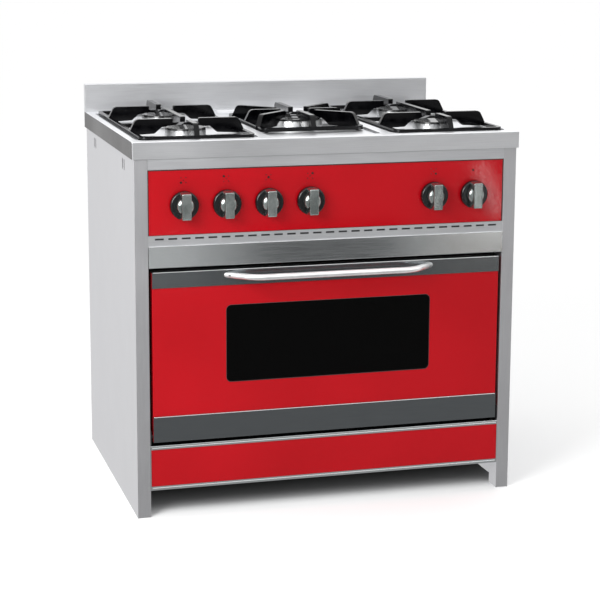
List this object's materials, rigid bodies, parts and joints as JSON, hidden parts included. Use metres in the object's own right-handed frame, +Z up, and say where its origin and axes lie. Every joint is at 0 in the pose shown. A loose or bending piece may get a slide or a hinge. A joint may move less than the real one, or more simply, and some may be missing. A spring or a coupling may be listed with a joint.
{
  "type": "freestanding gas range",
  "caption": "Freestanding gas range: steel body on side panels, hob with cast grates, turning knobs, drop-down oven door with window and bar handle.",
  "frame": {"origin": "centre of the footprint, handle included, on the floor", "axes": "+X the viewer's right, -Y the front, +Z up"},
  "size_m": [0.9, 0.701, 0.92],
  "materials": {
    "brushed_body": "brushed stainless steel, grain along the fold",
    "worktop_steel": "satin stainless steel",
    "polished_strip": "polished stainless strip",
    "dark_strip": "polished stainless strip that mirrors a dark room",
    "galvanised": "galvanised sheet",
    "zinc_screw": "zinc plated",
    "foot_rubber": "black rubber pad",
    "red_enamel": "glossy red enamel",
    "black_enamel": "glossy black enamel",
    "mineral_wool": "mineral wool blanket",
    "chrome_wire": "chromed wire",
    "burner_steel": "aluminised steel tube",
    "gasket": "woven and silicone heat seal",
    "tinted_glass": "dark tinted oven glass",
    "clear_glass": "clear heat-proof glass",
    "hinge_steel": "bright steel",
    "handle_chrome": "satin chromed bar",
    "valve_brass": "turned brass",
    "pipe_aluminium": "drawn aluminium tube",
    "burner_aluminium": "cast aluminium",
    "cap_enamel": "grey enamelled cap",
    "grate_iron": "glossy black enamelled cast iron",
    "knob_black": "black moulded skirt",
    "knob_chrome": "metallised grip"
  },
  "bodies": {
    "range_body": {"side_panel_left": "brushed_body", "side_panel_right": "brushed_body", "front_top_rail": "brushed_body", "worktop": "worktop_steel", "backsplash": "worktop_steel", "vent_strip": "brushed_body", "front_trim": "polished_strip", "rear_panel": "galvanised", "base_pan": "galvanised", "rear_panel_screws": "zinc_screw", "levelling_feet": "foot_rubber", "control_panel": "red_enamel", "lower_panel": "red_enamel", "lower_frame": "brushed_body", "oven_front_frame": "black_enamel", "oven_liner": "black_enamel", "oven_floor": "black_enamel", "oven_insulation": "mineral_wool", "rack_guides": "chrome_wire", "oven_rack": "chrome_wire", "oven_burner": "burner_steel", "hinge_brackets": "hinge_steel", "gas_valves": "valve_brass", "gas_manifold": "pipe_aluminium", "burner_pipes": "pipe_aluminium", "gas_inlet": "valve_brass", "burner_cups": "burner_aluminium", "burner_caps": "cap_enamel", "triple_burner": "burner_aluminium", "door_gasket": "gasket"},
    "oven_door": {"door_front_panel": "red_enamel", "door_top_trim": "dark_strip", "door_bottom_trim": "dark_strip", "door_window_glass": "tinted_glass", "door_inner_panel": "black_enamel", "door_inner_glass": "clear_glass", "door_hinge_blocks": "hinge_steel", "door_handle": "handle_chrome", "handle_screws": "zinc_screw"},
    "stem_1": {"valve_stem_1": "valve_brass"},
    "knob_1": {"knob_skirt_1": "knob_black", "knob_grip_1": "knob_chrome"},
    "stem_2": {"valve_stem_2": "valve_brass"},
    "knob_2": {"knob_skirt_2": "knob_black", "knob_grip_2": "knob_chrome"},
    "stem_3": {"valve_stem_3": "valve_brass"},
    "knob_3": {"knob_skirt_3": "knob_black", "knob_grip_3": "knob_chrome"},
    "stem_4": {"valve_stem_4": "valve_brass"},
    "knob_4": {"knob_skirt_4": "knob_black", "knob_grip_4": "knob_chrome"},
    "stem_5": {"valve_stem_5": "valve_brass"},
    "knob_5": {"knob_skirt_5": "knob_black", "knob_grip_5": "knob_chrome"},
    "stem_6": {"valve_stem_6": "valve_brass"},
    "knob_6": {"knob_skirt_6": "knob_black", "knob_grip_6": "knob_chrome"},
    "grate_left": {"grate_left": "grate_iron"},
    "grate_centre": {"grate_centre": "grate_iron"},
    "grate_right": {"grate_right": "grate_iron"}
  },
  "joints": [
    {"name": "oven_door_hinge", "type": "hinge", "parent": "range_body", "child": "oven_door", "pos_m": [0, -0.2855, 0.186], "axis": [1, 0, 0], "range_deg": [0, 90]},
    {"name": "knob_1_push", "type": "slide", "parent": "range_body", "child": "stem_1", "axis": [0, 1, 0], "range_m": [0, 0.003], "stiffness_N_per_m": 600, "springref_m": -0.002},
    {"name": "knob_1_turn", "type": "hinge", "parent": "stem_1", "child": "knob_1", "pos_m": [-0.335, -0.3075, 0.708], "axis": [0, -1, 0], "range_deg": [0, 210]},
    {"name": "knob_2_push", "type": "slide", "parent": "range_body", "child": "stem_2", "axis": [0, 1, 0], "range_m": [0, 0.003], "stiffness_N_per_m": 600, "springref_m": -0.002},
    {"name": "knob_2_turn", "type": "hinge", "parent": "stem_2", "child": "knob_2", "pos_m": [-0.239, -0.3075, 0.708], "axis": [0, -1, 0], "range_deg": [0, 210]},
    {"name": "knob_3_push", "type": "slide", "parent": "range_body", "child": "stem_3", "axis": [0, 1, 0], "range_m": [0, 0.003], "stiffness_N_per_m": 600, "springref_m": -0.002},
    {"name": "knob_3_turn", "type": "hinge", "parent": "stem_3", "child": "knob_3", "pos_m": [-0.143, -0.3075, 0.708], "axis": [0, -1, 0], "range_deg": [0, 210]},
    {"name": "knob_4_push", "type": "slide", "parent": "range_body", "child": "stem_4", "axis": [0, 1, 0], "range_m": [0, 0.003], "stiffness_N_per_m": 600, "springref_m": -0.002},
    {"name": "knob_4_turn", "type": "hinge", "parent": "stem_4", "child": "knob_4", "pos_m": [-0.047, -0.3075, 0.708], "axis": [0, -1, 0], "range_deg": [0, 210]},
    {"name": "knob_5_push", "type": "slide", "parent": "range_body", "child": "stem_5", "axis": [0, 1, 0], "range_m": [0, 0.003], "stiffness_N_per_m": 600, "springref_m": -0.002},
    {"name": "knob_5_turn", "type": "hinge", "parent": "stem_5", "child": "knob_5", "pos_m": [0.245, -0.3075, 0.708], "axis": [0, -1, 0], "range_deg": [0, 210]},
    {"name": "knob_6_push", "type": "slide", "parent": "range_body", "child": "stem_6", "axis": [0, 1, 0], "range_m": [0, 0.003], "stiffness_N_per_m": 600, "springref_m": -0.002},
    {"name": "knob_6_turn", "type": "hinge", "parent": "stem_6", "child": "knob_6", "pos_m": [0.341, -0.3075, 0.708], "axis": [0, -1, 0], "range_deg": [0, 210]},
    {"name": "grate_left_lift", "type": "slide", "parent": "range_body", "child": "grate_left", "axis": [0, 0, 1], "range_m": [0, 0.12]},
    {"name": "grate_centre_lift", "type": "slide", "parent": "range_body", "child": "grate_centre", "axis": [0, 0, 1], "range_m": [0, 0.12]},
    {"name": "grate_right_lift", "type": "slide", "parent": "range_body", "child": "grate_right", "axis": [0, 0, 1], "range_m": [0, 0.12]}
  ]
}
